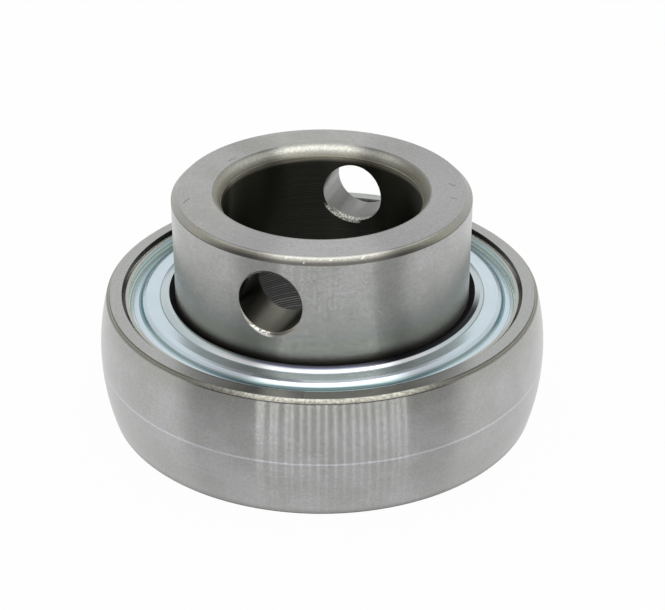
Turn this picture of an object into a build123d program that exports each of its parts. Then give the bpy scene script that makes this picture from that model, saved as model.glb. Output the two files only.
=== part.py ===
from build123d import *
from math import cos, radians, sin, sqrt
import os

# Insert bearing with a cross-drilled collar: a deep-groove ball bearing with a spherical outside,
# two pressed seals and a riveted ribbon cage. Its inner ring stands out on one side as a thick collar,
# with two aligned cross holes for a through bolt. The origin is the centre of the outside sphere, on
# the bearing's axis, and the collar points up.

# Inner ring: one constant outside diameter, long on the collar's side and flush on the other
bore_diameter = 31.75
ring_wall = 7.725
collar_rise = 17.15
collar_bevel = 1.0
bore_bevel_width = 1.3
bore_bevel_depth = 1.8
foot_bevel = 0.6

# Cross holes through the collar, countersunk outside
cross_hole_diameter = 10.0
cross_hole_bevel = 0.6
cross_hole_drop = 8.1
cross_hole_turn = 19.0
countersink_angle = 90.0

# Balls, the grooves they run in and the gap between the rings beside them
ball_count = 9
ball_diameter = 11.112
groove_ratio = 0.52
ball_gap = 0.03
ring_gap = 6.6
ball_line_offset = 3.15

# Ribbon cage: two pressed halves that meet at mid-height, riveted between the balls
cage_sheet = 0.9
cage_inset = 1.15
pocket_gap = 0.12
rivet_diameter = 1.5
rivet_head_diameter = 2.6
rivet_head_height = 0.55
rivet_gap = 0.02

# Outer ring: a ground sphere outside, narrow faces with broken edges, plain lands inside
outer_wall = 3.664
outer_edge_rise = 0.5
outer_edge_inset = 0.65

# Seal seats in the outer ring: a step out from the land, and a wider mouth at the face
seat_step = 1.4
seat_gap = 0.03
mouth_step = 0.55
mouth_depth = 1.1

# Rubber lip and its backing washer, stacked from the seat's floor up to the cover
cage_to_seal = 0.374
backing_sheet = 0.5
backing_gap = 1.6
lip_gap = 0.05
lip_tip_height = 0.35
lip_tip_drop = 0.4
lip_undercut = 0.75
lip_foot_step = 0.2
lip_foot_thickness = 0.4

# Pressed cover of a seal: the line that its sheet follows, from its raised inner bead over a sloping
# collar, a flat plate, a rounded shoulder, a step and a ledge to its upright rim
cover_sheet = 0.5
cover_bend = 0.35
cover_recess = 0.25
cover_window = 1.0
bead_width = 0.34
slope_width = 1.12
slope_rise = 0.54
plate_width = 1.54
plate_rise = 0.02
shoulder_width = 0.6
shoulder_rise = 0.12
brow_width = 0.56
brow_rise = 0.3
step_width = 0.31
step_rise = 0.32
ledge_rise = 0.54
rim_corner_lift = 0.06
rim_recess = 0.65

# Radii, from the bore outwards
bore_radius = bore_diameter / 2
ring_radius = bore_radius + ring_wall
cross_hole_radius = cross_hole_diameter / 2
ball_radius = ball_diameter / 2
groove_radius = ball_diameter * groove_ratio
pitch_radius = ring_radius + ball_line_offset
inner_groove_floor = pitch_radius - ball_radius - ball_gap
outer_groove_floor = pitch_radius + ball_radius + ball_gap
land_radius = ring_radius + ring_gap
seat_radius = land_radius + seat_step
mouth_radius = seat_radius + mouth_step
sphere_radius = outer_groove_floor + outer_wall
pocket_radius = ball_radius + pocket_gap
cage_inner_radius = ring_radius + cage_inset
cage_outer_radius = land_radius - cage_inset
rivet_radius = rivet_diameter / 2
rivet_head_radius = rivet_head_diameter / 2
backing_inner_radius = ring_radius + backing_gap
seal_radius = seat_radius - seat_gap
cover_inner_radius = ring_radius + cover_window
bead_radius = cover_inner_radius + bead_width
crease_radius = bead_radius + slope_width
plate_radius = crease_radius + plate_width
shoulder_radius = plate_radius + shoulder_width
brow_radius = shoulder_radius + brow_width
ledge_radius = brow_radius + step_width
rim_radius = seal_radius - cover_sheet / 2

# Heights above the plane of the ball centres, from the cage up to the collar
cage_half_height = pocket_radius + cage_sheet
rivet_top = cage_sheet + rivet_head_height
seat_floor = cage_half_height + cage_to_seal
backing_top = seat_floor + backing_sheet
lip_foot_top = backing_top + lip_foot_thickness
rim_corner_height = lip_foot_top + rim_corner_lift
ledge_height = rim_corner_height + ledge_rise
brow_height = ledge_height + step_rise
shoulder_height = brow_height + brow_rise
plate_height = shoulder_height + shoulder_rise
crease_height = plate_height + plate_rise
bead_height = crease_height + slope_rise
half_width = bead_height + cover_sheet / 2 + cover_recess
rim_height = half_width - rim_recess
lip_tip_top = bead_height - lip_tip_drop
seat_depth = half_width - seat_floor
edge_start = half_width - outer_edge_rise
edge_start_radius = sqrt(sphere_radius**2 - edge_start**2)
face_radius = edge_start_radius - outer_edge_inset
collar_height = half_width + collar_rise
cross_hole_height = collar_height - cross_hole_drop

# Outlines, as radius and height: the middle of the cover's sheet, and the rubber's section, whose
# upper side follows the same line before the sheet is taken out of it
cover_line = [
    (cover_inner_radius, bead_height),
    (bead_radius, bead_height),
    (crease_radius, crease_height),
    (plate_radius, plate_height),
    (shoulder_radius, shoulder_height),
    (brow_radius, brow_height),
    (ledge_radius, ledge_height),
    (rim_radius, rim_corner_height),
    (rim_radius, rim_height),
]
lip_foot_radius = backing_inner_radius + lip_foot_step
lip_outline = [
    (ring_radius + lip_gap, lip_tip_top - lip_tip_height),
    (ring_radius + lip_gap, lip_tip_top),
    (cover_inner_radius, bead_height),
    (bead_radius, bead_height),
    (crease_radius, crease_height),
    (plate_radius, plate_height),
    (plate_radius, lip_foot_top),
    (seal_radius, lip_foot_top),
    (seal_radius, backing_top),
    (lip_foot_radius, backing_top),
    (lip_foot_radius, lip_tip_top - lip_undercut),
]

os.makedirs("parts", exist_ok=True)


def save(part, label):
    """Label a finished piece and write it to a file of the same name."""
    part.label = label
    export_step(part, f"parts/{label}.step")


def on_side(points, side):
    """Outline points of the upper side (1), or the same points turned over to the lower side (-1)."""
    return [(radius, side * height) for radius, height in points]


def around(index, half_steps=0):
    """Place on the pitch circle of the ball with this index, or half a step past it."""
    turn = radians(360 / ball_count * (index + half_steps / 2))
    return pitch_radius * cos(turn), pitch_radius * sin(turn)


# Outer ring, turned from one section
with BuildPart() as outer_ring:
    with BuildSketch(Plane.XZ):
        with BuildLine():
            Polyline(
                (land_radius, half_width),
                (face_radius, half_width),
                (edge_start_radius, edge_start),
            )
            ThreePointArc(
                (edge_start_radius, edge_start),
                (sphere_radius, 0),
                (edge_start_radius, -edge_start),
            )
            Polyline(
                (edge_start_radius, -edge_start),
                (face_radius, -half_width),
                (land_radius, -half_width),
                (land_radius, half_width),
            )
        make_face()
        with Locations((land_radius, half_width), (land_radius, -half_width)):
            Rectangle(2 * (seat_radius - land_radius), 2 * seat_depth, mode=Mode.SUBTRACT)
            Rectangle(2 * (mouth_radius - land_radius), 2 * mouth_depth, mode=Mode.SUBTRACT)
        with Locations((outer_groove_floor - groove_radius, 0)):
            Circle(groove_radius, mode=Mode.SUBTRACT)
    revolve(axis=Axis.Z)
save(outer_ring.part, "outer_ring")

# Inner ring, turned from one section, then drilled across the collar from both sides
hole_direction = Vector(-sin(radians(cross_hole_turn)), -cos(radians(cross_hole_turn)), 0)
hole_centre = Vector(0, 0, cross_hole_height)
with BuildPart() as inner_ring:
    with BuildSketch(Plane.XZ):
        with BuildLine():
            Polyline(
                (bore_radius, foot_bevel - half_width),
                (bore_radius + foot_bevel, -half_width),
                (ring_radius - foot_bevel, -half_width),
                (ring_radius, foot_bevel - half_width),
                (ring_radius, collar_height - collar_bevel),
                (ring_radius - collar_bevel, collar_height),
                (bore_radius + bore_bevel_width, collar_height),
                (bore_radius, collar_height - bore_bevel_depth),
                close=True,
            )
        make_face()
        with Locations((inner_groove_floor + groove_radius, 0)):
            Circle(groove_radius, mode=Mode.SUBTRACT)
    revolve(axis=Axis.Z)
    with Locations(
        Plane(origin=hole_centre + hole_direction * ring_radius, z_dir=hole_direction),
        Plane(origin=hole_centre - hole_direction * ring_radius, z_dir=-hole_direction),
    ):
        CounterSinkHole(
            radius=cross_hole_radius,
            counter_sink_radius=cross_hole_radius + cross_hole_bevel,
            depth=ring_radius,
            counter_sink_angle=countersink_angle,
        )
save(inner_ring.part, "inner_ring")

# Balls
for index in range(ball_count):
    with BuildPart() as ball:
        with Locations(around(index)):
            Sphere(ball_radius)
    save(ball.part, f"ball_{index + 1}")

# Cage halves: a flat ribbon with a round pocket pressed out over each ball
for side, half_name in ((1, "cage_upper_half"), (-1, "cage_lower_half")):
    with BuildPart() as cage_half:
        with BuildSketch(Plane.XY) as ribbon:
            Circle(cage_outer_radius)
            Circle(cage_inner_radius, mode=Mode.SUBTRACT)
        extrude(amount=side * cage_sheet)
        with PolarLocations(pitch_radius, ball_count):
            Sphere(pocket_radius + cage_sheet)
        extrude(ribbon.sketch, amount=side * cage_half_height, mode=Mode.INTERSECT)
        with PolarLocations(pitch_radius, ball_count):
            Sphere(pocket_radius, mode=Mode.SUBTRACT)
        with PolarLocations(pitch_radius, ball_count, start_angle=180 / ball_count):
            Hole(rivet_radius + rivet_gap)
    save(cage_half.part, half_name)

# Rivets between the balls, with a domed head on each side
for index in range(ball_count):
    rivet_x, rivet_y = around(index, half_steps=1)
    with BuildPart() as rivet:
        with BuildSketch(Plane(origin=(rivet_x, rivet_y, 0), x_dir=(1, 0, 0), z_dir=(0, -1, 0))):
            with BuildLine():
                Polyline(
                    (rivet_head_radius, -cage_sheet),
                    (rivet_radius, -cage_sheet),
                    (rivet_radius, cage_sheet),
                    (rivet_head_radius, cage_sheet),
                )
                TangentArc((0, rivet_top), (rivet_head_radius, cage_sheet), tangent=(1, 0))
                TangentArc((0, -rivet_top), (rivet_head_radius, -cage_sheet), tangent=(1, 0))
                Line((0, -rivet_top), (0, rivet_top))
            make_face()
        revolve(axis=Axis((rivet_x, rivet_y, 0), (0, 0, 1)))
    save(rivet.part, f"cage_rivet_{index + 1}")

# Seals, the same on both sides
for side, place in ((1, "top"), (-1, "bottom")):
    with BuildPart() as seal_cover:
        with BuildSketch(Plane.XZ) as cover_section:
            with BuildLine():
                FilletPolyline(*on_side(cover_line, side), radius=cover_bend)
            trace(line_width=cover_sheet)
        revolve(axis=Axis.Z)
    save(seal_cover.part, f"seal_cover_{place}")

    with BuildPart() as seal_lip:
        with BuildSketch(Plane.XZ):
            with BuildLine():
                Polyline(*on_side(lip_outline, side), close=True)
            make_face()
            add(cover_section.sketch_local, mode=Mode.SUBTRACT)
        revolve(axis=Axis.Z)
    save(seal_lip.part, f"seal_lip_{place}")

    with BuildPart() as seal_backing:
        with BuildSketch(Plane.XY.offset(side * seat_floor)):
            Circle(seal_radius)
            Circle(backing_inner_radius, mode=Mode.SUBTRACT)
        extrude(amount=side * backing_sheet)
    save(seal_backing.part, f"seal_backing_{place}")
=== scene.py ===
"""Looks of an insert bearing: ground steel rings, a pressed zinc-plated seal cover and its rubber lip.

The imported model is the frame. It stands with the long collar up, its axis is +Z through the origin, and the
bearing's middle plane is z = 0. Lengths are in metres, and those of the finishes in millimetres.
"""

import logging
from dataclasses import dataclass
from enum import Enum
from functools import reduce
from math import cos, pi, radians, sin

import bpy
import numpy as np
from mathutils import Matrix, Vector

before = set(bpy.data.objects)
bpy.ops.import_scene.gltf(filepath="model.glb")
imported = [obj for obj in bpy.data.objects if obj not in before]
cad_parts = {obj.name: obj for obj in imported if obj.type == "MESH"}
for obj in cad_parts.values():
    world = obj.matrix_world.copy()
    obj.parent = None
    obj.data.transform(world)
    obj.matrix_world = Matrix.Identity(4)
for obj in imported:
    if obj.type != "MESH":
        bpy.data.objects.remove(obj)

log = logging.getLogger("insert_bearing")
MM = 0.001

Colour = tuple[float, float, float]
Socket = bpy.types.NodeSocket
Span = tuple[float, float]
Tone = tuple[float, float, float, float]
Lines = tuple[tuple[Colour, Colour], ...]
GROUND = {"metallic": 1.0, "anisotropic": 1.0, "anisotropic_rotation": 0.25}
PLATED = {"metallic": 1.0, "anisotropic": 0.8, "anisotropic_rotation": 0.25}
LEAST_SLOPE = 1e-6
WHITE = (1.0, 1.0, 1.0)
WARM_WHITE = (1.0, 0.995, 0.985)
ROUND_LEAN = 0.6
DRAWN_LEAN = 0.5


def srgb(red: int, green: int, blue: int) -> Colour:
    """Linear colour of a screen colour.

    Args:
        red: its red, from 0 to 255.
        green: its green.
        blue: its blue.

    Returns:
        The linear colour, from 0 to 1.
    """
    steps = np.array((red, green, blue)) / 255
    linear = np.where(steps <= 0.04045, steps / 12.92, ((steps + 0.055) / 1.055) ** 2.4)
    return tuple(float(part) for part in linear)


class Sum(Enum):
    """Sums that the patterns are worked out with."""

    ADD = "ADD"
    SUBTRACT = "SUBTRACT"
    MULTIPLY = "MULTIPLY"
    DIVIDE = "DIVIDE"
    ROOT = "SQRT"
    SIZE = "ABSOLUTE"
    LEAST = "MINIMUM"
    MOST = "MAXIMUM"
    SINE = "SINE"
    TURN = "ARCTAN2"


class At(Enum):
    """Measures of a surface point, such as its x. Called with a start and an end, each gives a band."""

    X = "x"
    Y = "y"
    Z = "z"
    RADIUS = "distance from the z axis"
    WIDTH = "size of x"
    HEIGHT = "size of z"
    SLANT = "radius plus z"
    CORNER = "x less y"
    ASIDE = "place across the cross holes' axis"
    ABOVE = "height over the cross holes' axis"
    HOLE = "distance from the cross holes' axis"
    DROP = "radius less a shift at the sides"
    WIDE_DROP = "the same with a wider line's shift"

    def __call__(self, start: float, end: float) -> "Band":
        """The band from start to end of this measure."""
        return Band(self, start, end)

    def strip(self, low: float, high: float, soft: float) -> tuple["Band", "Band"]:
        """The two bands whose product is 1 from low to high, with ends this soft."""
        return self(low - soft / 2, low + soft / 2), self(high + soft / 2, high - soft / 2)


@dataclass(frozen=True)
class Band:
    """A smooth rise from 0 at start to 1 at end, in millimetres of one measure; a fall where end is less."""

    at: At
    start: float
    end: float


class Layer:
    """One tint of a pattern: a colour that is laid on where all its bands meet, with uppers laid on it."""

    def __init__(
        self, colour: Colour, *bands: Band, share: float = 1.0, uppers: tuple["Layer", ...] = ()
    ) -> None:
        """Keeps the colour, its bands, how much of it is laid on and what lies on it."""
        self.colour, self.bands, self.share, self.uppers = colour, bands, share, uppers


@dataclass(frozen=True)
class Grain:
    """Numbers of one noise.

    Args:
        size: how many clouds there are along one metre.
        detail: how many finer layers are added.
        rough: how strong the finer layers are.
        fine: how many clouds there are along one metre across drawn-out streaks.
    """

    size: float
    detail: float
    rough: float
    fine: float = 0.0


Bands = tuple[Band, ...]
Feed = float | Colour | Socket | At
Part = Feed | Band


class Bench:
    """Lays out the nodes of one material's pattern."""

    def __init__(self, name: str) -> None:
        """Starts an empty material.

        Args:
            name: what the material is called.
        """
        self.material = bpy.data.materials.new(name)
        self.material.use_nodes = True
        self.tree = self.material.node_tree
        self.tree.nodes.clear()
        self.lengths: dict[At, Socket] = {}

    def node(self, kind: str, **settings: object) -> bpy.types.Node:
        """Adds a node.

        Args:
            kind: Blender's name of the node's type.
            settings: the node's own settings.

        Returns:
            The new node.
        """
        made = self.tree.nodes.new(kind)
        for key, value in settings.items():
            setattr(made, key, value)
        return made

    def feed(self, socket: Socket, value: Feed) -> None:
        """Gives an input a value, or joins it to another node's output.

        Args:
            socket: the input.
            value: a number, a colour, an output or a measure.
        """
        value = self.lengths[value] if isinstance(value, At) else value
        if isinstance(value, bpy.types.NodeSocket):
            self.tree.links.new(value, socket)
        elif isinstance(value, tuple) and len(socket.default_value) == 4:
            socket.default_value = (*value, 1.0)
        else:
            socket.default_value = value

    def wire(
        self, kind: str, inputs: dict[int | str, Feed], output: int | str = 0, **settings: object
    ) -> Socket:
        """Adds a node and feeds it.

        Args:
            kind: Blender's name of the node's type.
            inputs: what its inputs get.
            output: which output is wanted.
            settings: the node's own settings.

        Returns:
            The wanted output.
        """
        made = self.node(kind, **settings)
        for key, value in inputs.items():
            self.feed(made.inputs[key], value)
        return made.outputs[output]

    def sum(self, kind: Sum, *values: Feed) -> Socket:
        """The result of one sum of these values."""
        return self.wire("ShaderNodeMath", dict(enumerate(values)), operation=kind.value)

    def product(self, *parts: Part) -> Socket:
        """A product, where a band counts as its mask.

        Args:
            parts: numbers, masks and bands.

        Returns:
            The product.
        """
        masks = [
            self.rise(part.at, part.start * MM, part.end * MM) if isinstance(part, Band) else part
            for part in parts
        ]
        return reduce(lambda first, second: self.sum(Sum.MULTIPLY, first, second), masks)

    def place(self) -> None:
        """Lays out the surface point's plain measures on the object."""
        self.spot = self.node("ShaderNodeTexCoord").outputs["Object"]
        parts = self.node("ShaderNodeSeparateXYZ")
        self.feed(parts.inputs[0], self.spot)
        self.lengths = dict(zip((At.X, At.Y, At.Z), parts.outputs))
        self.lengths[At.RADIUS] = self.radius(At.X, At.Y)
        self.lengths[At.WIDTH] = self.sum(Sum.SIZE, At.X)
        self.lengths[At.HEIGHT] = self.sum(Sum.SIZE, At.Z)

    def point(self, x: Feed, y: Feed, z: Feed) -> Socket:
        """A place in a pattern, from its three numbers."""
        return self.wire("ShaderNodeCombineXYZ", {0: x, 1: y, 2: z})

    def radius(self, x: Feed, y: Feed) -> Socket:
        """The root of x squared plus y squared."""
        return self.sum(Sum.ROOT, self.sum(Sum.ADD, self.product(x, x), self.product(y, y)))

    def rise(self, value: Feed, start: float, end: float) -> Socket:
        """A smooth rise from 0 at start to 1 at end; a fall where end is less than start."""
        inputs = {"Value": value, "From Min": start, "From Max": end}
        return self.wire("ShaderNodeMapRange", inputs, interpolation_type="SMOOTHSTEP")

    def noise(self, grain: Grain, place: Socket | None = None) -> Socket:
        """Cloudy values about 0.5.

        Args:
            grain: the noise's numbers.
            place: where in the pattern, counted in clouds; the surface point if it is left out.

        Returns:
            The value at that place.
        """
        where = (self.spot, grain.size) if place is None else (place, 1.0)
        inputs = {"Vector": where[0], "Scale": where[1], "Detail": grain.detail, "Roughness": grain.rough}
        return self.wire("ShaderNodeTexNoise", inputs, noise_dimensions="3D")

    def streaks(self, grain: Grain, across: Feed) -> Socket:
        """Noise that is drawn out round the z axis: slow along x and y, fine across."""
        x, y = (self.product(at, grain.size) for at in (At.X, At.Y))
        return self.noise(grain, self.point(x, y, self.product(across, grain.fine)))

    def round_marks(self, grain: Grain) -> Socket:
        """Fine marks round the z axis, on sides and faces alike: streaks fine along z + ROUND_LEAN r."""
        return self.streaks(grain, self.sum(Sum.ADD, At.Z, self.product(At.RADIUS, ROUND_LEAN)))

    def mark(self, start: Colour, end: Colour, width: float) -> Socket:
        """A short straight scratch.

        With u along the scratch and p from its start, its share rises where p.u is between 0 and the length,
        and where the size of p x u, the distance aside, is less than the width.

        Args:
            start: where the scratch starts.
            end: where it ends.
            width: how far aside it reaches.

        Returns:
            The scratch's mask.
        """
        line = Vector(end) - Vector(start)
        offset = self.wire("ShaderNodeVectorMath", {0: self.spot, 1: start}, operation="SUBTRACT")
        both = {0: offset, 1: line.normalized()}
        place = self.wire("ShaderNodeVectorMath", both, "Value", operation="DOT_PRODUCT")
        aside = self.wire("ShaderNodeVectorMath", both, operation="CROSS_PRODUCT")
        size = self.wire("ShaderNodeVectorMath", {0: aside}, "Value", operation="LENGTH")
        return self.product(
            self.rise(size, width, width / 3),
            self.rise(place, -width / 2, width / 2),
            self.rise(place, line.length + width / 2, line.length - width / 2),
        )

    def marks(self, places: Lines, width: float) -> Socket:
        """The mask of several scratches.

        Args:
            places: the start and end of each, in millimetres.
            width: their width in millimetres.

        Returns:
            The mask.
        """
        mask: Feed = 0.0
        for start, end in places:
            ends = [tuple(part * MM for part in point) for point in (start, end)]
            mask = self.sum(Sum.MOST, mask, self.mark(*ends, width * MM))
        return mask

    def tint(self, share: Feed, base: Feed, over: Feed) -> Socket:
        """A colour that goes from base to over by share."""
        inputs = {0: share, 6: base, 7: over}
        return self.wire("ShaderNodeMix", inputs, 2, data_type="RGBA", clamp_factor=True)

    def lay(self, base: Feed, layer: Layer, *masks: Part, over: Feed | None = None) -> Socket:
        """Lays a layer over a colour.

        Args:
            base: the colour so far.
            layer: what is laid on, and where.
            masks: further limits.
            over: a colour in place of the layer's own.

        Returns:
            The new colour.
        """
        if over is None:
            over = reduce(self.lay, layer.uppers, layer.colour)
        share = () if layer.share == 1.0 else (layer.share,)
        return self.tint(self.product(*layer.bands, *masks, *share), base, over)

    def lerp(self, share: Feed, base: Feed, over: Feed) -> Socket:
        """A number that goes from base to over by share."""
        inputs = {0: share, 2: base, 3: over}
        return self.wire("ShaderNodeMix", inputs, data_type="FLOAT", clamp_factor=True)

    def tone(self, value: Feed, low: float, high: float, start: float, end: float) -> Socket:
        """A number that goes from start to end while value goes from low to high."""
        return self.lerp(self.rise(value, low, high), start, end)

    def shade(self, colour: Feed, value: Feed) -> Socket:
        """A colour made lighter or darker by a factor."""
        return self.wire("ShaderNodeVectorMath", {0: colour, "Scale": value}, operation="SCALE")

    def bump(self, height: Feed, depth: float) -> Socket:
        """A normal that leans with a height from 0 to 1, where 1 is depth in millimetres."""
        return self.wire("ShaderNodeBump", {"Strength": 1.0, "Distance": depth * MM, "Height": height})

    def finish(self, colour: Feed, rough: Feed, normal: Socket, **fixed: float) -> bpy.types.Material:
        """Ends the material with its shader.

        Args:
            colour: the base colour.
            rough: the roughness.
            normal: the leaning normal.
            fixed: other numbers of the shader, by the name of their input.

        Returns:
            The finished material.
        """
        shader = self.node("ShaderNodeBsdfPrincipled")
        self.feed(shader.inputs["Base Color"], colour)
        self.feed(shader.inputs["Roughness"], rough)
        self.feed(shader.inputs["Normal"], normal)
        for key, value in fixed.items():
            shader.inputs[key.replace("_", " ").title().replace("Ior", "IOR")].default_value = value
        if fixed.get("anisotropic"):
            along = self.node("ShaderNodeTangent", direction_type="RADIAL", axis="Z")
            self.feed(shader.inputs["Tangent"], along.outputs[0])
        self.surface(shader.outputs[0])
        return self.material

    def glow(self, level: Feed, colour: Colour) -> Socket:
        """Plain light of this level and colour."""
        return self.wire("ShaderNodeEmission", {"Color": colour, "Strength": level})

    def surface(self, shader: Socket) -> None:
        """Makes a shader's output the material's surface."""
        self.feed(self.node("ShaderNodeOutputMaterial").inputs["Surface"], shader)


@dataclass(frozen=True)
class OuterRingSteel:
    """Ground steel of the outer ring: fine marks round it, a pale middle line and olive turned chamfers.

    Lengths are in millimetres. Heights count from the ring's middle plane to both sides. Painted highlights,
    reflections and shade lie on the middle line, the chamfer, the front of the face and the seat's mouth.
    """

    cloud: Grain = Grain(160.0, 3.0, 0.55)
    speckle: Grain = Grain(2600.0, 2.0, 0.6)
    nick: Grain = Grain(2400.0, 2.0, 0.6)
    marks: Grain = Grain(150.0, 2.0, 0.5, 18000.0)
    patches: Span = (0.35, 0.65)
    grain_shade: Span = (0.9, 1.1)
    speckle_shade: Span = (0.82, 1.18)
    speckle_depth: float = 0.0006
    roughness: Span = (0.19, 0.22)
    chamfer_roughness: float = 0.36

    ground: Colour = srgb(177, 177, 177)
    worn: Colour = srgb(168, 168, 167)
    upper: Layer = Layer(srgb(166, 167, 163), At.Z(5.5, 9.5))
    under: Layer = Layer(srgb(164, 164, 163), At.Z(0.0, -7.0), At.WIDTH(12.0, 22.0))
    # Painted shade: the ring's bottom border darkened, as the floor's contact shadow.
    low_edge: Layer = Layer(srgb(136, 136, 134), At.Z(-8.6, -9.7), share=0.7)
    # The middle line is a real seam; its paleness is partly a painted highlight, stronger towards the front.
    line: Layer = Layer(srgb(205, 206, 214), *At.Z.strip(-0.12, 0.16, 0.34))
    line_front: Band = At.Y(-8.0, -24.0)
    line_shares: Span = (0.3, 0.8)

    face: Layer = Layer(srgb(174, 176, 175), At.HEIGHT(10.2, 10.23))
    # Painted reflection: the face darker at the front, where it mirrors the collar, darkest in the middle.
    middle_face: Layer = Layer(srgb(128, 128, 124), At.X(-7.0, -3.0), At.X(11.0, 7.0))
    front_face: Layer = Layer(
        srgb(148, 148, 142), At.HEIGHT(10.2, 10.24), At.Y(-28.0, -32.0), uppers=(middle_face,)
    )

    outside: Band = At.RADIUS(33.9, 34.0)
    chamfer: Layer = Layer(
        srgb(170, 169, 160), outside, At.HEIGHT(9.72, 9.78), At.HEIGHT(10.23, 10.2)
    )
    # Painted highlight: the chamfer paler in front, where it catches the front light.
    rubbed: Layer = Layer(srgb(200, 199, 188), At.Y(-27.0, -32.5))
    # Painted shade: the chamfer darker towards its lower side.
    chamfer_low: Layer = Layer(srgb(128, 124, 112), At.HEIGHT(10.12, 9.74), share=0.6)
    # Painted shade: the olive of dark lines along the chamfer's top in front and its lower border at the
    # sides.
    olive: Colour = srgb(92, 88, 74)
    top_line: Layer = Layer(olive, At.HEIGHT(10.06, 10.12), At.Y(4.0, -6.0), share=0.7)
    narrow: Band = At.HEIGHT(9.94, 9.88)
    nick_tone: Tone = (0.32, 0.68, 0.68, 1.3)
    line_limits: Span = (0.7, 0.0)
    side_limits: Span = (0.6, 0.0)
    # Painted shade: dark lines along the chamfer's lower border, higher up at the sides where it is narrowed.
    edge: Layer = Layer(srgb(84, 80, 82), *At.HEIGHT.strip(9.62, 9.77, 0.06), outside, share=0.9)
    high_edge: Layer = Layer(olive, *At.HEIGHT.strip(9.88, 9.95, 0.05), outside, share=0.6)

    # The seat's mouth: its wall painted dark as shade, paler at the back where light reaches it; the ledge
    # below painted pale like the lit cover rim, with painted shade in front.
    far_wall: Layer = Layer(srgb(150, 150, 142), At.Y(27.0, 30.0))
    dark_shelf: Layer = Layer(srgb(74, 73, 70), At.Y(-12.5, -9.0), At.Y(10.0, 1.0))
    shelf: Layer = Layer(srgb(226, 230, 228), At.HEIGHT(9.3, 9.2), uppers=(dark_shelf,))
    mouth: Layer = Layer(srgb(66, 64, 58), At.RADIUS(32.17, 32.15), uppers=(far_wall, shelf))

    def chamfer_colour(self, bench: Bench, ground: Socket, front: Socket, side: Socket) -> Socket:
        """The turned chamfer: painted highlight and glints in front, painted shade lines, narrower at the
        sides.

        Args:
            bench: where the nodes go.
            ground: the colour of the ground side.
            front: the mask of the front.
            side: the mask of the sides.

        Returns:
            The chamfer's colour.
        """
        turned = bench.lay(bench.lay(self.chamfer.colour, self.rubbed), self.chamfer_low)
        turned = bench.lay(turned, self.top_line, bench.rise(front, *self.line_limits))
        turned = bench.tint(bench.product(side, self.narrow), turned, ground)
        nick = bench.tone(bench.noise(self.nick), *self.nick_tone)
        return bench.shade(turned, bench.lerp(front, 1.0, nick))

    def build(self) -> bpy.types.Material:
        """Its grain is fine along z + ROUND_LEAN r and slow along x and y.

        Returns:
            The material.
        """
        bench = Bench("outer_ring_ground_steel")
        bench.place()
        cloud, speckle = bench.noise(self.cloud), bench.noise(self.speckle)
        colour = bench.tint(bench.rise(cloud, *self.patches), self.worn, self.ground)
        layers = (self.upper, self.under, self.low_edge, self.face, self.front_face)
        colour = reduce(bench.lay, layers, colour)
        front = bench.product(*self.rubbed.bands)
        side = bench.rise(front, *self.side_limits)
        colour = bench.lay(colour, self.chamfer, over=self.chamfer_colour(bench, colour, front, side))
        colour = bench.lay(colour, self.mouth)
        colour = bench.lay(colour, self.edge, bench.lerp(side, 1.0, 0.0))
        colour = bench.lay(colour, self.high_edge, side)
        colour = bench.lay(colour, self.line, bench.lerp(bench.product(self.line_front), *self.line_shares))
        colour = bench.shade(colour, bench.lerp(bench.round_marks(self.marks), *self.grain_shade))
        colour = bench.shade(colour, bench.lerp(speckle, *self.speckle_shade))
        chamfer = bench.product(*self.chamfer.bands)
        rough = bench.lerp(chamfer, bench.lerp(cloud, *self.roughness), self.chamfer_roughness)
        return bench.finish(colour, rough, bench.bump(speckle, self.speckle_depth), **GROUND)


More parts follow.
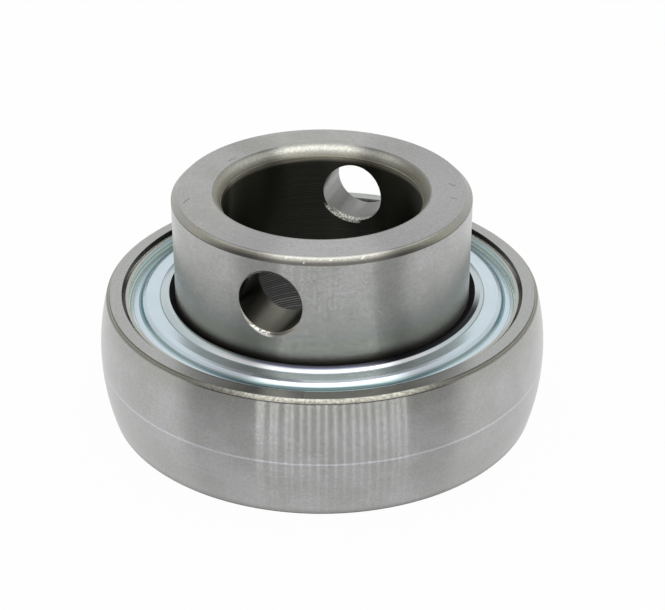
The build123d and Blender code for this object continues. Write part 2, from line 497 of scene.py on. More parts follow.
@dataclass(frozen=True)
class InnerRingSteel:
    """Steel of the inner ring and collar: ground sides, turned bevels, a dark turned bore and drilled holes.

    Lengths are in millimetres. Painted highlights and shade lie on the bevels, low on the collar, in the
    holes and low in the bore.
    """

    cloud: Grain = Grain(130.0, 3.0, 0.55)
    speckle: Grain = Grain(2400.0, 2.0, 0.6)
    nick: Grain = Grain(3200.0, 2.0, 0.6)
    marks: Grain = Grain(120.0, 2.0, 0.5, 14000.0)
    ridges: Grain = Grain(70.0, 2.0, 0.6, 3200.0)
    patches: Span = (0.35, 0.65)
    grain_shade: Span = (0.9, 1.1)
    speckle_shade: Span = (0.8, 1.2)
    ridge_tone: Tone = (0.35, 0.65, 0.72, 1.28)
    roughness: float = 0.25
    bevel_roughness: float = 0.36
    bore_roughness: float = 0.34
    hole_roughness: float = 0.32

    ground: Colour = srgb(177, 178, 177)
    worn: Colour = srgb(167, 168, 165)
    # Painted highlight: the colour of the bevels' bright places and of lit chips.
    rubbed: Colour = srgb(240, 239, 230)
    cut: Colour = srgb(122, 120, 108)
    off_bore: Band = At.RADIUS(15.895, 15.955)
    in_bore: Band = At.RADIUS(15.955, 15.895)
    on_collar: Band = At.Z(0.0, 9.0)
    below_face: Band = At.Z(27.39, 27.35)
    above_foot: Band = At.Z(13.0, 13.2)
    far: Band = At.Y(-1.0, 1.0)

    warm_side: Layer = Layer(srgb(188, 186, 175), At.Z(14.5, 12.5))
    low_side: Layer = Layer(srgb(188, 188, 185), At.Z(20.0, 13.0), on_collar, off_bore, uppers=(warm_side,))
    flat_face: Layer = Layer(srgb(168, 169, 169), At.Z(27.35, 27.39), At.CORNER(-12.0, 8.0))
    # Painted shade: the collar darkened just above the seal, where the black rubber is mirrored and shade
    # falls; less to the right.
    foot: Layer = Layer(srgb(98, 97, 90), At.Z(12.2, 9.3), on_collar, At.X(24.0, 8.0), off_bore)

    outer_bevel: Bands = (At.SLANT(49.95, 49.99), At.RADIUS(23.59, 23.55), below_face)
    bore_bevel: Bands = (off_bore, below_face, At.RADIUS(17.195, 17.135), At.Z(25.5, 25.6))
    bevel: Colour = srgb(182, 180, 166)
    side_bevel: Layer = Layer(srgb(172, 172, 168), At.Y(-16.0, -8.0))
    # Painted highlights: the bore bevel at the back and the outer bevel in front, tinted towards the
    # highlight colour.
    bevel_back: Band = At.Y(4.0, 15.0)
    bevel_front: Band = At.Y(-19.5, -22.5)
    front_share: float = 0.45
    nick_tone: Tone = (0.32, 0.68, 0.84, 1.12)
    nick_shares: Span = (0.3, 1.0)
    # Painted highlight and shade on the outer bevel's front: a bright top and a dark lower border.
    rolled: Band = At.Y(-13.0, -20.5)
    rolled_top: Layer = Layer(rubbed, rolled, At.Z(27.05, 27.25))
    rolled_low: Layer = Layer(srgb(104, 102, 98), rolled, At.Z(27.2, 26.6))
    # Painted shade: the bore bevel darker to the right.
    right_bevel: Layer = Layer(cut, At.X(10.0, 15.0), share=0.7)
    soft_top: Band = At.RADIUS(22.6, 22.8)
    soft_bore: Band = At.RADIUS(17.175, 16.775)
    # Painted shade: dark lines in front, on the face by the bore bevel and on the collar under the outer
    # bevel.
    inner_edge: Layer = Layer(cut, At.RADIUS(17.45, 17.2), At.Y(0.0, -8.0), At.Z(27.3, 27.35), share=0.6)
    under_line: Layer = Layer(
        srgb(92, 88, 84), *At.Z.strip(26.36, 26.48, 0.08), At.RADIUS(23.4, 23.5), At.Y(-2.0, -14.0),
        share=0.75,
    )
    upper_cut: Layer = Layer(cut, At.Z(26.7, 26.1), share=0.62)
    lower_cut: Layer = Layer(cut, At.Z(26.1, 25.8), share=0.6)

    hole_height: float = 19.3
    hole_turn: float = radians(19.0)
    hole: Layer = Layer(srgb(114, 113, 105), At.HOLE(5.06, 5.03), off_bore, above_foot)
    # Painted shade: the holes' side walls darker, except near their top.
    dark_hole: Layer = Layer(srgb(66, 65, 60), At.ABOVE(4.9, 3.0))
    hole_sides: Bands = (At.ASIDE(2.6, 4.6), At.ASIDE(-1.8, -3.8))
    # Painted light: the far hole's wall paler, lit through it.
    far_hole: Layer = Layer(srgb(152, 153, 151), far)
    rim: Bands = At.HOLE.strip(5.06, 5.36, 0.06)
    hole_mouth: Bands = (*At.RADIUS.strip(15.9, 16.9, 0.2), far)
    # The holes' lower rims: a soft rim colour, with real chips made bright as a painted highlight in front
    # and in the far hole.
    rag: Layer = Layer(srgb(150, 143, 132), At.Z(16.2, 15.0), above_foot)
    front_rag: Bands = At.ASIDE.strip(-3.3, -0.2, 0.4)
    fleck_tone: Tone = (0.38, 0.56, 0.3, 1.04)
    # Painted highlight: the bore's border below the far hole, in the chips' colour.
    torn: Layer = Layer(
        rubbed, in_bore, *At.HOLE.strip(4.9, 5.5, 0.1), At.Z(17.2, 16.0), At.ASIDE(1.5, 0.5), At.Y(0.0, 1.0)
    )

    line_pitch: float = 0.46
    line_wander: float = 0.4
    line_limits: Span = (0.7, 1.0)
    line_gaps: Grain = Grain(30.0, 1.0, 0.5, 1700.0)
    gap_tone: Tone = (0.38, 0.62, 0.25, 1.0)
    line_share: float = 0.05
    # Painted glint: the turned lines paler, most of all low in the bore.
    deep_share: float = 0.6
    line_depth: float = 0.01
    bright_line: Colour = srgb(196, 196, 186)
    bore: Colour = srgb(48, 48, 44)
    side_bore: Layer = Layer(srgb(82, 82, 72), At.WIDTH(6.0, 13.0))
    # Painted light: the bore low down, seen through the cross hole, paler, as lit through it.
    low_bore: Layer = Layer(srgb(74, 76, 76), At.Z(9.0, 6.5))
    lead: Layer = Layer(srgb(150, 146, 132), At.Z(24.5, 25.3))
    side_lead: Layer = Layer(srgb(186, 182, 166), *side_bore.bands)

    dark_mark: Layer = Layer(srgb(70, 68, 64), share=0.75)
    # The nicks are real marks; their near-white colour is a painted glint.
    bright_mark: Layer = Layer(srgb(250, 249, 244))
    scratch_width: float = 0.12
    nick_width: float = 0.16
    scratches: Lines = (
        ((20.0, 2.0, 27.4), (20.7, 0.9, 27.4)),
        ((20.7, 0.9, 27.4), (21.0, 1.4, 27.4)),
        ((19.9, -3.0, 27.4), (20.9, -3.7, 27.4)),
        ((-15.2, 10.1, 27.4), (-14.0, 11.3, 27.4)),
        ((-21.3, -5.1, 27.4), (-20.4, -3.3, 27.4)),
        ((-1.12, -23.6, 23.88), (-0.92, -23.6, 24.0)),
    )
    nicks: Lines = (
        ((5.9, -22.4, 26.95), (6.3, -22.0, 27.2)),
        ((-5.2, -22.6, 27.1), (-4.9, -22.2, 27.2)),
        ((-2.6, -23.2, 26.7), (-2.3, -23.2, 26.9)),
        ((1.2, -22.9, 26.9), (1.6, -22.9, 27.0)),
    )

    def measure(self, bench: Bench) -> None:
        """Lays out the measures of the bevels and of the holes, whose axis is turned from y by hole_turn.

        Args:
            bench: where the nodes go.
        """
        across, along = bench.product(At.X, cos(self.hole_turn)), bench.product(At.Y, sin(self.hole_turn))
        bench.lengths[At.ASIDE] = bench.sum(Sum.SUBTRACT, across, along)
        bench.lengths[At.ABOVE] = bench.sum(Sum.SUBTRACT, At.Z, self.hole_height * MM)
        bench.lengths[At.HOLE] = bench.radius(At.ASIDE, At.ABOVE)
        bench.lengths[At.SLANT] = bench.sum(Sum.ADD, At.RADIUS, At.Z)
        bench.lengths[At.CORNER] = bench.sum(Sum.SUBTRACT, At.X, At.Y)

    def bevels(self, bench: Bench, colour: Socket, nick: Socket, ridge: Socket) -> Socket:
        """Lays the bevels over a colour, with their painted highlights and shade.

        Args:
            bench: where the nodes go.
            colour: the colour so far.
            nick: the noise of the flecks.
            ridge: the light and dark of the turned ridges.

        Returns:
            The new colour.
        """
        outer, bore = bench.product(*self.outer_bevel), bench.product(*self.bore_bevel)
        back, front = bench.product(bore, self.bevel_back), bench.product(outer, self.bevel_front)
        bevel = bench.lay(self.bevel, self.side_bevel, outer)
        # How much painted highlight each bevel gets.
        pale = bench.sum(Sum.ADD, back, bench.product(front, self.front_share))
        bevel = bench.tint(pale, bevel, self.rubbed)
        shown = bench.lerp(bench.sum(Sum.ADD, back, front), *self.nick_shares)
        bevel = bench.shade(bevel, bench.lerp(shown, 1.0, bench.tone(nick, *self.nick_tone)))
        bevel = bench.lay(bench.lay(bevel, self.rolled_top, outer), self.rolled_low, outer)
        bevel = bench.lay(bevel, self.right_bevel, bore)
        soft = bench.sum(Sum.ADD, bench.product(outer, self.soft_top), bench.product(bore, self.soft_bore))
        colour = bench.tint(soft, colour, bevel)
        colour = bench.lay(bench.lay(colour, self.inner_edge), self.under_line)
        turned = bench.shade(self.cut, ridge)
        for layer in (self.upper_cut, self.lower_cut):
            colour = bench.lay(colour, layer, bore, over=turned)
        return colour

    def holes(self, bench: Bench, colour: Socket, fleck: Socket) -> Socket:
        """Lays the cross holes' walls and ragged rims over a colour, with painted shade, light and
        highlights.

        Args:
            bench: where the nodes go.
            colour: the colour so far.
            fleck: the colour of chipped steel, painted as a highlight.

        Returns:
            The new colour.
        """
        sides = bench.sum(Sum.ADD, *(bench.product(side) for side in self.hole_sides))
        wall = bench.lay(bench.lay(self.hole.colour, self.dark_hole, sides), self.far_hole)
        colour = bench.lay(colour, self.hole, over=wall)
        mouth = bench.product(*self.hole.bands, *self.hole_mouth)
        ragged = bench.sum(Sum.MOST, bench.product(*self.rim), mouth)
        torn = bench.sum(Sum.MOST, bench.product(*self.front_rag), bench.product(self.far))
        return bench.lay(colour, self.rag, ragged, over=bench.tint(torn, self.rag.colour, fleck))

    def bore_colour(self, bench: Bench, line: Socket, ridge: Socket) -> Socket:
        """The dark bore, paler at its sides and by the bevel, with its turned lines; paler low down, as
        painted light.

        Args:
            bench: where the nodes go.
            line: the mask of the turned lines.
            ridge: the light and dark of the turned ridges.

        Returns:
            The bore's colour.
        """
        plain = bench.lay(bench.lay(self.bore, self.side_bore), self.low_bore)
        # The lines' painted glint, strongest low in the bore.
        deep = bench.product(line, *self.low_bore.bands, self.deep_share)
        shown = bench.sum(Sum.ADD, deep, bench.product(line, self.line_share))
        plain = bench.tint(shown, plain, self.bright_line)
        lead = bench.shade(bench.lay(self.lead.colour, self.side_lead), ridge)
        return bench.lay(plain, self.lead, over=lead)

    def turned_line(self, bench: Bench, cloud: Socket) -> Socket:
        """The turned lines: peaks of the sine of 2 pi (z + wander) / pitch, with uneven gaps.

        Args:
            bench: where the nodes go.
            cloud: the noise that they wander with.

        Returns:
            The lines' mask.
        """
        wander = bench.sum(Sum.ADD, At.Z, bench.product(cloud, self.line_wander * MM))
        turned = bench.sum(Sum.SINE, bench.product(wander, 2 * pi / (self.line_pitch * MM)))
        gaps = bench.tone(bench.streaks(self.line_gaps, At.Z), *self.gap_tone)
        return bench.product(bench.rise(turned, *self.line_limits), gaps)

    def build(self) -> bpy.types.Material:
        """A point's distances from the two axes say which cut made its surface.

        Returns:
            The material.
        """
        bench = Bench("inner_ring_steel")
        bench.place()
        self.measure(bench)
        cloud, speckle, nick = bench.noise(self.cloud), bench.noise(self.speckle), bench.noise(self.nick)
        ridge = bench.tone(bench.streaks(self.ridges, At.Z), *self.ridge_tone)
        fleck = bench.shade(self.rubbed, bench.tone(nick, *self.fleck_tone))
        line = self.turned_line(bench, cloud)
        colour = bench.tint(bench.rise(cloud, *self.patches), self.worn, self.ground)
        colour = reduce(bench.lay, (self.low_side, self.flat_face, self.foot), colour)
        colour = self.bevels(bench, colour, nick, ridge)
        colour = self.holes(bench, colour, fleck)
        colour = bench.lay(colour, self.dark_mark, bench.marks(self.scratches, self.scratch_width))
        colour = bench.lay(colour, self.bright_mark, bench.marks(self.nicks, self.nick_width))
        in_bore = bench.product(self.in_bore)
        colour = bench.tint(in_bore, colour, self.bore_colour(bench, line, ridge))
        colour = bench.lay(colour, self.torn, over=fleck)
        colour = bench.shade(colour, bench.lerp(bench.round_marks(self.marks), *self.grain_shade))
        colour = bench.shade(colour, bench.lerp(speckle, *self.speckle_shade))
        bevels = bench.sum(Sum.ADD, bench.product(*self.outer_bevel), bench.product(*self.bore_bevel))
        rough = bench.lerp(bevels, self.roughness, self.bevel_roughness)
        rough = bench.lerp(in_bore, rough, self.bore_roughness)
        rough = bench.lerp(bench.product(*self.hole.bands), rough, self.hole_roughness)
        groove = bench.product(line, *self.low_bore.bands, in_bore)
        return bench.finish(colour, rough, bench.bump(groove, self.line_depth), **GROUND)


@dataclass(frozen=True)
class ZincPlate:
    """Pale blue zinc on the pressed cover: fine marks round it, cloudy thin and thick places, a bare rim.

    Lengths are in millimetres. Bands of radius tint the pressed profile; several of them are painted
    highlights, reflections and shade on its slopes.
    """

    cloud: Grain = Grain(150.0, 3.0, 0.55)
    marks: Grain = Grain(90.0, 3.0, 0.55, 5200.0)
    grain_shade: Span = (0.94, 1.06)
    grain_depth: float = 0.0004
    roughness: Span = (0.19, 0.26)

    plate: Colour = srgb(218, 230, 241)
    cloudy: Colour = srgb(196, 214, 222)
    front: Band = At.Y(-20.0, -25.0)
    # Painted highlight: the plate's raised ring paler in front, where it mirrors the light above.
    shoulder: Layer = Layer(srgb(228, 237, 247), *At.RADIUS.strip(27.7, 28.7, 0.2), front)
    step: Layer = Layer(srgb(178, 200, 200), *At.RADIUS.strip(28.88, 29.5, 0.14))
    # Painted highlight: the bead's inner slope white in front.
    bead_edge: Layer = Layer(srgb(250, 250, 254), At.RADIUS(25.1, 25.6), At.Y(-17.0, -22.5))
    bead: Layer = Layer(srgb(196, 208, 212), At.RADIUS(26.05, 25.95), uppers=(bead_edge,))
    # Painted reflection of the black rubber: the bead's inner border darker in front, nearly black to the
    # front right.
    bead_foot: Layer = Layer(srgb(120, 124, 150), At.RADIUS(25.45, 25.15), front)
    bead_dark: Layer = Layer(
        srgb(38, 40, 46), At.RADIUS(25.46, 25.34), At.X(3.0, 11.0), At.Y(0.0, -8.0)
    )
    # Painted shade: a dark line where the bead folds into the plate.
    crease: Layer = Layer(srgb(128, 146, 150), *At.RADIUS.strip(25.95, 26.12, 0.1), share=0.8)

    # Painted shade: a blue-grey line down the step, darkest at the front.
    drop: Layer = Layer(srgb(114, 146, 162), *At.DROP.strip(28.94, 29.37, 0.14))
    wide_drop: Bands = At.WIDE_DROP.strip(28.94, 29.37, 0.14)
    front_drop: Layer = Layer(srgb(74, 98, 104), At.Y(-24.0, -28.0))
    outward: Band = At.WIDTH(4.0, 12.0)
    outward_shift: float = 0.12
    wide: Bands = At.Y.strip(-19.0, 4.0, 5.0)
    wide_shift: float = 0.2
    half_way: Bands = At.Y.strip(-23.0, -11.0, 4.0)
    drop_shares: Span = (0.8, 0.2)

    channel: Layer = Layer(srgb(206, 218, 214), At.RADIUS(30.5, 30.7))
    drawn_pitch: float = 0.42
    drawn_limits: Span = (0.2, 1.0)
    drawn_shade: Span = (1.0, 0.7)
    drawn_start: Band = At.RADIUS(29.9, 30.4)
    # Painted shade: the rim darker in front, where it lies low in the ring's mouth.
    front_rim: Layer = Layer(srgb(128, 130, 124), At.Y(-24.0, -29.0))
    rim: Layer = Layer(
        srgb(180, 182, 175), At.RADIUS(31.05, 31.07), At.HEIGHT(9.57, 9.59), uppers=(front_rim,)
    )
    dark_mark: Layer = Layer(srgb(110, 120, 124))
    scratch_width: float = 0.14
    scratches: Lines = (
        ((26.6, 11.7, 9.19), (27.4, 9.2, 9.19)),
        ((27.6, 8.6, 9.19), (28.0, 6.9, 9.15)),
        ((28.0, 3.8, 9.1), (28.3, 2.5, 9.1)),
        ((-25.3, 9.6, 9.19), (-24.9, 10.8, 9.19)),
    )

    def step_line(self, bench: Bench) -> tuple[Socket, Socket]:
        """The step's painted shade line, a little farther out at the sides and wider there.

        Args:
            bench: where the nodes go.

        Returns:
            The line's mask and colour.
        """
        shift = bench.product(self.outward, self.outward_shift * MM)
        wide = bench.product(*self.wide, self.wide_shift * MM)
        bench.lengths[At.DROP] = bench.sum(Sum.SUBTRACT, At.RADIUS, shift)
        bench.lengths[At.WIDE_DROP] = bench.sum(Sum.ADD, At.DROP, wide)
        line = bench.sum(Sum.MOST, bench.product(*self.drop.bands), bench.product(*self.wide_drop))
        shown = bench.lerp(bench.product(*self.half_way), *self.drop_shares)
        return bench.product(line, shown), bench.lay(self.drop.colour, self.front_drop)

    def drawn_lines(self, bench: Bench) -> Socket:
        """The ledge's drawn lines, from the sine of 2 pi (r + DRAWN_LEAN z) / pitch.

        Args:
            bench: where the nodes go.

        Returns:
            The lines' mask.
        """
        place = bench.sum(Sum.ADD, At.RADIUS, bench.product(At.Z, DRAWN_LEAN))
        wave = bench.sum(Sum.SINE, bench.product(place, 2 * pi / (self.drawn_pitch * MM)))
        return bench.product(bench.rise(wave, *self.drawn_limits), self.drawn_start)

    def build(self) -> bpy.types.Material:
        """Laid out from the plate's clouds to the sheared rim.

        Returns:
            The material.
        """
        bench = Bench("zinc_plated_cover")
        bench.place()
        cloud, grain = bench.noise(self.cloud), bench.streaks(self.marks, At.RADIUS)
        colour = bench.tint(cloud, self.cloudy, self.plate)
        layers = (self.shoulder, self.step, self.bead, self.bead_foot, self.bead_dark, self.crease)
        colour = reduce(bench.lay, layers, colour)
        # The step's painted shade line and its colour.
        line, dark = self.step_line(bench)
        colour = bench.lay(bench.tint(line, colour, dark), self.channel)
        colour = bench.shade(colour, bench.lerp(self.drawn_lines(bench), *self.drawn_shade))
        colour = bench.lay(colour, self.dark_mark, bench.marks(self.scratches, self.scratch_width))
        colour = bench.lay(colour, self.rim)
        colour = bench.shade(colour, bench.lerp(grain, *self.grain_shade))
        rough = bench.lerp(cloud, *self.roughness)
        return bench.finish(colour, rough, bench.bump(grain, self.grain_depth), **PLATED)


@dataclass(frozen=True)
class SealRubber:
    """Black moulded rubber with a faint violet bloom and fine mould grain."""

    rubber: Colour = srgb(16, 16, 21)
    bloom: Colour = srgb(30, 30, 38)
    cloud: Grain = Grain(500.0, 4.0, 0.6)
    grain: Grain = Grain(6000.0, 2.0, 0.5)
    bloom_limits: Span = (0.45, 0.75)
    grain_depth: float = 0.008
    roughness: Span = (0.54, 0.7)
    mirror: float = 0.07

    def build(self) -> bpy.types.Material:
        """Bloom is a cloud of dust, and gloss goes with the mould grain.

        Returns:
            The material.
        """
        bench = Bench("seal_rubber")
        bench.place()
        cloud, grain = bench.noise(self.cloud), bench.noise(self.grain)
        colour = bench.tint(bench.rise(cloud, *self.bloom_limits), self.rubber, self.bloom)
        rough = bench.lerp(grain, *self.roughness)
        normal = bench.bump(grain, self.grain_depth)
        return bench.finish(colour, rough, normal, metallic=0.0, specular_ior_level=self.mirror)


@dataclass(frozen=True)
class BallSteel:
    """Lapped ball steel: bright, with a faint cloud of handling marks."""

    bright: Colour = srgb(205, 206, 208)
    dull: Colour = srgb(182, 183, 184)
    cloud: Grain = Grain(320.0, 4.0, 0.6)
    cloud_depth: float = 0.002
    roughness: Span = (0.09, 0.15)

    def build(self) -> bpy.types.Material:
        """Thin oil clouds change the gloss a little.

        Returns:
            The material.
        """
        bench = Bench("ball_steel")
        bench.place()
        cloud = bench.noise(self.cloud)
        colour = bench.tint(cloud, self.dull, self.bright)
        normal = bench.bump(cloud, self.cloud_depth)
        return bench.finish(colour, bench.lerp(cloud, *self.roughness), normal, metallic=1.0)


@dataclass(frozen=True)
class SheetSteel:
    """Plain pressed steel sheet with rolling streaks and grey pickled places.

    Args:
        name: what the material is called.
        bright: colour of the rubbed places.
        dull: colour of the grey places.
        roughness: the roughness of the bright places; dullness more is that of the grey ones.
    """

    name: str
    bright: Colour
    dull: Colour
    roughness: float
    dullness: float = 0.12
    cloud: Grain = Grain(260.0, 4.0, 0.6)
    streak: Grain = Grain(200.0, 3.0, 0.5, 5000.0)
    streak_shade: Span = (0.9, 1.1)
    streak_depth: float = 0.006

    def build(self) -> bpy.types.Material:
        """Rolling streaks run along x, and grey places are soft clouds.

        Returns:
            The material.
        """
        bench = Bench(self.name)
        bench.place()
        cloud = bench.noise(self.cloud)
        scales = (At.X, self.streak.size), (At.Y, self.streak.fine), (At.Z, self.streak.fine)
        streak = bench.noise(self.streak, bench.point(*(bench.product(*scale) for scale in scales)))
        colour = bench.tint(cloud, self.dull, self.bright)
        colour = bench.shade(colour, bench.lerp(streak, *self.streak_shade))
        rough = bench.lerp(cloud, self.roughness + self.dullness, self.roughness)
        return bench.finish(colour, rough, bench.bump(streak, self.streak_depth), metallic=1.0)


def dress(node: str, material: bpy.types.Material) -> None:
    """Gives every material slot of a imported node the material."""
    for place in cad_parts[node].material_slots:
        place.material = material


@dataclass
class Ring:
    """One of the two steel rings."""

    node: str
    steel: OuterRingSteel | InnerRingSteel

    def build(self) -> None:
        """Dresses the ring."""
        dress(self.node, self.steel.build())


@dataclass
class SealSet:
    """Both seals: a zinc-plated cover, a rubber lip and a backing washer each."""

    sides: tuple[str, ...] = ("top", "bottom")
    plate: ZincPlate = ZincPlate()
    rubber: SealRubber = SealRubber()
    backing: SheetSteel = SheetSteel("backing_steel", srgb(178, 178, 174), srgb(140, 140, 136), 0.38)

    def build(self) -> None:
        """Dresses the pieces of both seals."""
        plate, rubber, backing = self.plate.build(), self.rubber.build(), self.backing.build()
        for side in self.sides:
            dress(f"seal_cover_{side}", plate)
            dress(f"seal_lip_{side}", rubber)
            dress(f"seal_backing_{side}", backing)


@dataclass
class BallRow:
    """The nine balls and the riveted ribbon cage that spaces them."""

    count: int = 9
    ball: BallSteel = BallSteel()
    ribbon: SheetSteel = SheetSteel("cage_sheet", srgb(172, 168, 158), srgb(128, 124, 114), 0.4)
    rivet: SheetSteel = SheetSteel("rivet_steel", srgb(190, 190, 188), srgb(150, 150, 146), 0.34)

    def build(self) -> None:
        """Dresses the balls, the cage halves and the rivets."""
        ball, ribbon, rivet = self.ball.build(), self.ribbon.build(), self.rivet.build()
        for half in ("cage_upper_half", "cage_lower_half"):
            dress(half, ribbon)
        for number in range(1, self.count + 1):
            dress(f"ball_{number}", ball)
            dress(f"cage_rivet_{number}", rivet)


def outward(turns: np.ndarray, rises: np.ndarray) -> np.ndarray:
    """Unit arrows out of the middle, (cos b sin a, -cos b cos a, sin b) for turn a and rise b."""
    return np.stack([np.cos(rises) * np.sin(turns), -np.cos(rises) * np.cos(turns), np.sin(rises)], -1)


def grid_faces(bands: int, rows: int, columns: int) -> np.ndarray:
    """The four-cornered faces of several grids, whose points are counted along the columns first.

    Args:
        bands: how many grids.
        rows: how many rows each has.
        columns: how many columns each has.

    Returns:
        The faces, one a row.
    """
    band, row, column = np.indices((bands, rows - 1, columns - 1)).reshape(3, -1)
    first = (band * rows + row) * columns + column
    return np.stack([first, first + 1, first + columns + 1, first + columns], 1)


@dataclass
class Studio:
    """White sweep, plain even light, the room that metal mirrors, and the camera."""

    floor_height: float = -10.27 * MM
    floor_half: float = 3.0
    floor_glow: float = 0.97
    floor_paper: float = 0.95
    floor_mirror: float = 0.9
    world_level: float = 0.75
    aim: Colour = (1.67 * MM, 0.0, 6.44 * MM)
    camera_distance: float = 284.48 * MM
    camera_rise: float = 0.5193
    lens: float = 94.93
    sensor: float = 36.0
    clip: Span = (0.001, 50.0)
    room_radius: float = 1.0
    room_foot: float = -0.02
    room_steps: tuple[int, int] = (96, 32)
    front_level: float = 0.38
    near_level: float = 17.0 * MM
    table_level: float = 0.43
    floor_level: float = 1.06
    side_level: float = 0.8
    high_level: float = 0.42
    back_level: float = 0.92
    back_high_level: float = 0.6
    back_lean: float = radians(26.0)
    side_lifts: Span = (radians(12.0), radians(42.0))
    back_lifts: Span = (radians(45.0), radians(75.0))
    lean_lifts: Span = (radians(24.0), radians(48.0))
    front_edge: Span = (radians(31.0), radians(40.0))
    back_edge: Span = (radians(128.0), radians(154.0))
    ball_radius: float = 36.0 * MM
    table_gap: float = 0.3 * MM
    strip_reach: float = 0.6
    strip_span: Span = (-18.0, 34.0)
    strip_steps: int = 61
    strip_half: float = radians(0.2)
    strip_turns: tuple[float, ...] = (
        -15.0, -14.0, -11.8, -10.6, -8.2, -6.8, -4.65, -2.75, -0.62, 1.28,
        3.41, 5.55, 7.7, 9.6, 11.5, 13.5, 15.2, 17.15, 18.65, 20.4,
    )
    strip_rises: tuple[float, ...] = (-60.0, -45.0, -35.0, -20.0, -11.0, -3.6, 10.0, 24.0, 34.0, 90.0)
    strip_levels: tuple[float, ...] = (0.0, 0.15, 0.35, 0.9, 1.4, 2.3, 3.4, 3.4, 0.8, 0.0)
    panel_behind: float = 0.05
    panel_steps: tuple[int, int] = (27, 41)
    panel_turns: tuple[float, ...] = (-24.0, -16.0, 21.0, 29.0)
    panel_shares: tuple[float, ...] = (0.0, 1.0, 1.0, 0.0)
    panel_rises: tuple[float, ...] = (27.0, 32.0, 45.0, 55.0, 62.0, 74.0)
    panel_levels: tuple[float, ...] = (0.5, 1.2, 1.2, 1.5, 2.0, 2.0)

    def stand(
        self, name: str, points: np.ndarray, faces: np.ndarray, material: bpy.types.Material
    ) -> bpy.types.Object:
        """Adds a piece of the set.

        Args:
            name: what it is called.
            points: its corners, one a row.
            faces: its four-cornered faces, one a row.
            material: its finish.

        Returns:
            The piece.
        """
        mesh = bpy.data.meshes.new(name)
        mesh.from_pydata(points.tolist(), [], faces.tolist())
        mesh.materials.append(material)
        piece = bpy.data.objects.new(name, mesh)
        bpy.context.scene.collection.objects.link(piece)
        return piece

    def only_metal(self, piece: bpy.types.Object) -> None:
        """Lets nothing but mirrored light see a piece of the set."""
        for kind in ("camera", "diffuse", "transmission", "shadow"):
            setattr(piece, f"visible_{kind}", False)

    def front_share(self, bench: Bench) -> tuple[Socket, Socket]:
        """How far a place is out of the dim front, and its turn t from the front.

        The first is worked out from the turn of the ring's surface that mirrors the place, t / (2 - R / r).

        Args:
            bench: where the nodes go.

        Returns:
            The share and the turn.
        """
        turn = bench.sum(Sum.SIZE, bench.sum(Sum.TURN, At.X, bench.product(At.Y, -1.0)))
        near = bench.sum(Sum.DIVIDE, self.ball_radius, At.RADIUS)
        surface = bench.sum(Sum.DIVIDE, turn, bench.sum(Sum.SUBTRACT, 2.0, near))
        return bench.rise(surface, *self.front_edge), turn

    def floor(self) -> None:
        """A large white plane under the ring, clear from below.

        Metal sees it go dim towards the front, as a table's far end.
        """
        sides = np.array([(-1, -1), (1, -1), (1, 1), (-1, 1)]) * self.floor_half
        points = np.column_stack([sides, np.full(4, self.floor_height)])
        bench = Bench("white_floor")
        paper = bench.wire("ShaderNodeBsdfDiffuse", {"Color": (self.floor_paper,) * 3})
        path = bench.node("ShaderNodeLightPath")
        bench.place()
        aside, _ = self.front_share(bench)
        away = bench.sum(Sum.DIVIDE, self.near_level, At.RADIUS)
        front = bench.sum(Sum.LEAST, bench.sum(Sum.ADD, away, self.table_level), 1.0)
        mirrored = bench.lerp(aside, front, self.floor_level)
        glow = bench.glow(bench.lerp(path.outputs["Is Glossy Ray"], 1.0, mirrored), WHITE)
        seen = bench.product(path.outputs["Is Camera Ray"], self.floor_glow)
        share = bench.sum(Sum.MOST, seen, bench.product(path.outputs["Is Glossy Ray"], self.floor_mirror))
        paper = bench.wire("ShaderNodeMixShader", {0: share, 1: paper, 2: glow})
        below = bench.node("ShaderNodeNewGeometry").outputs["Backfacing"]
        clear = bench.wire("ShaderNodeBsdfTransparent", {})
        bench.surface(bench.wire("ShaderNodeMixShader", {0: below, 1: paper, 2: clear}))
        self.stand("studio_floor", points, np.array([(0, 1, 2, 3)]), bench.material)

    def world(self) -> None:
        """Even white light all round: plain white to the camera, and world_level to all else."""
        world = bpy.data.worlds.new("soft_white")
        world.use_nodes = True
        tree = world.node_tree
        tree.nodes.clear()
        path = tree.nodes.new("ShaderNodeLightPath")
        level = tree.nodes.new("ShaderNodeMapRange")
        tree.links.new(path.outputs["Is Camera Ray"], level.inputs["Value"])
        level.inputs["To Min"].default_value = self.world_level
        light = tree.nodes.new("ShaderNodeBackground")
        tree.links.new(level.outputs[0], light.inputs["Strength"])
        light.inputs["Color"].default_value = (*WHITE, 1.0)
        tree.links.new(light.outputs[0], tree.nodes.new("ShaderNodeOutputWorld").inputs["Surface"])
        bpy.context.scene.world = world

    def room(self) -> None:
        """The room that metal mirrors, half a ball: dim in front, paler aside, white at the back."""
        wide, high = self.room_steps
        turns, rises = np.meshgrid(
            np.linspace(-pi, pi, wide + 1), np.linspace(self.room_foot, pi / 2, high + 1), indexing="ij"
        )
        points = outward(turns, rises).reshape(-1, 3) * self.room_radius
        bench = Bench("mirrored_room")
        bench.place()
        aside, turn = self.front_share(bench)
        lift = bench.sum(Sum.TURN, At.Z, At.RADIUS)
        side = bench.lerp(bench.rise(lift, *self.side_lifts), self.side_level, self.high_level)
        back = bench.lerp(bench.rise(lift, *self.back_lifts), self.back_level, self.back_high_level)
        level = bench.lerp(aside, self.front_level, side)
        lean = bench.product(bench.rise(lift, *self.lean_lifts), self.back_lean)
        level = bench.lerp(bench.rise(bench.sum(Sum.ADD, turn, lean), *self.back_edge), level, back)
        self.glowing(bench, level)
        faces = grid_faces(1, wide + 1, high + 1)
        self.only_metal(self.stand("mirrored_room", points, faces, bench.material))

    def glowing(self, bench: Bench, level: Feed) -> None:
        """Ends a material as plain light of this level."""
        bench.surface(bench.glow(level, WARM_WHITE))
        bench.material.cycles.emission_sampling = "NONE"

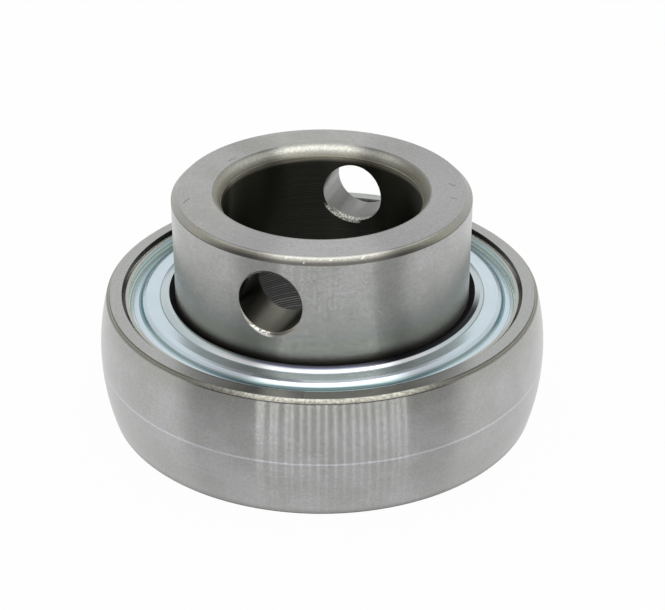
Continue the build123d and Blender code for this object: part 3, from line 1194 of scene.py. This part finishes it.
    def mirrored(self, turns: np.ndarray, rises: np.ndarray, reach: float) -> tuple[np.ndarray, np.ndarray]:
        """Where the outside of the ring sends the camera's sight.

        With n the surface's normal, the sight leaves the surface point p = R n along 2 (n.v) n - v, with v
        towards the camera, and ends on the floor or on a ball of this reach.

        Args:
            turns: the surface's turns from the front.
            rises: the surface's rises.
            reach: the ball's radius.

        Returns:
            The places, and the angle at which the sight rises there.
        """
        normal = outward(turns, rises)
        start = self.ball_radius * normal
        back = outward(np.zeros(1), np.array([self.camera_rise]))
        camera = np.array(self.aim) + self.camera_distance * back
        view = camera - start
        view = view / np.linalg.norm(view, axis=-1, keepdims=True)
        away = 2 * np.sum(normal * view, -1, keepdims=True) * normal - view
        along = np.sum(start * away, -1)
        far = -along + np.sqrt(along ** 2 + reach ** 2 - self.ball_radius ** 2)
        fall = self.floor_height + self.table_gap - start[..., 2]
        down = np.where(away[..., 2] < 0, fall / np.minimum(away[..., 2], -LEAST_SLOPE), far)
        return start + away * np.minimum(far, down)[..., None], np.degrees(np.arcsin(away[..., 2]))

    def lit_sheet(self, name: str, points: np.ndarray, levels: np.ndarray) -> None:
        """Adds a glowing piece that metal alone sees.

        Args:
            name: what it is called.
            points: its places on a grid of bands, steps and sides.
            levels: its light at each place.
        """
        bench = Bench(name)
        shade = bench.node("ShaderNodeAttribute", attribute_name="level")
        self.glowing(bench, shade.outputs["Fac"])
        piece = self.stand(name, points.reshape(-1, 3), grid_faces(*levels.shape), bench.material)
        values = piece.data.attributes.new("level", "FLOAT", "POINT")
        values.data.foreach_set("value", levels.ravel().astype(np.float32))
        self.only_metal(piece)

    def strips(self) -> None:
        """The front window's row of bright strips, and their trail on the table.

        Each strip runs along one turn of the ring's surface, for all its rises.
        """
        middle = np.radians(self.strip_turns)[:, None, None]
        turns = middle + np.array([-1.0, 1.0])[None, None, :] * self.strip_half
        rises = np.radians(np.linspace(*self.strip_span, self.strip_steps))[None, :, None]
        turns, rises = np.broadcast_arrays(turns, rises)
        points, lift = self.mirrored(turns, rises, self.strip_reach)
        ground = self.table_level + self.near_level / np.linalg.norm(points[..., :2], axis=-1)
        ground = np.where(points[..., 2] < 0, np.minimum(ground, 1.0), self.front_level)
        self.lit_sheet("bright_strips", points, ground + np.interp(lift, self.strip_rises, self.strip_levels))

    def panel(self) -> None:
        """The window's upper pane, which leans over the ring to its back."""
        wide, high = self.panel_steps
        turns = np.radians(np.linspace(self.panel_turns[0], self.panel_turns[-1], wide))[None, None, :]
        rises = np.radians(np.linspace(self.panel_rises[0], self.panel_rises[-1], high))[None, :, None]
        turns, rises = np.broadcast_arrays(turns, rises)
        points, _ = self.mirrored(turns, rises, self.strip_reach + self.panel_behind)
        levels = np.interp(np.degrees(rises), self.panel_rises, self.panel_levels)
        share = np.interp(np.degrees(turns), self.panel_turns, self.panel_shares)
        self.lit_sheet("window_panel", points, self.front_level + share * (levels - self.front_level))

    def camera(self) -> None:
        """The camera, at the photograph's angle and distance."""
        data = bpy.data.cameras.new("photo_camera")
        data.sensor_width, data.lens = self.sensor, self.lens
        data.clip_start, data.clip_end = self.clip
        piece = bpy.data.objects.new("photo_camera", data)
        bpy.context.scene.collection.objects.link(piece)
        back = Vector((0.0, -cos(self.camera_rise), sin(self.camera_rise)))
        piece.location = Vector(self.aim) + back * self.camera_distance
        piece.rotation_mode = "QUATERNION"
        piece.rotation_quaternion = (-back).to_track_quat("-Z", "Y")
        bpy.context.scene.camera = piece

    def build(self) -> None:
        """Sets up the floor, light and camera."""
        self.floor()
        self.world()
        self.room()
        self.strips()
        self.panel()
        self.camera()
        bpy.context.scene.view_settings.view_transform = "Standard"


def main() -> None:
    """Builds the bearing's pieces in order, then the studio."""
    logging.basicConfig(level=logging.INFO, format="%(name)s: %(message)s")
    rings = Ring("outer_ring", OuterRingSteel()), Ring("inner_ring", InnerRingSteel())
    for piece in (*rings, SealSet(), BallRow(), Studio()):
        piece.build()
        log.info("%s done", type(piece).__name__)


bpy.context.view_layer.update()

if __name__ == "__main__":
    main()
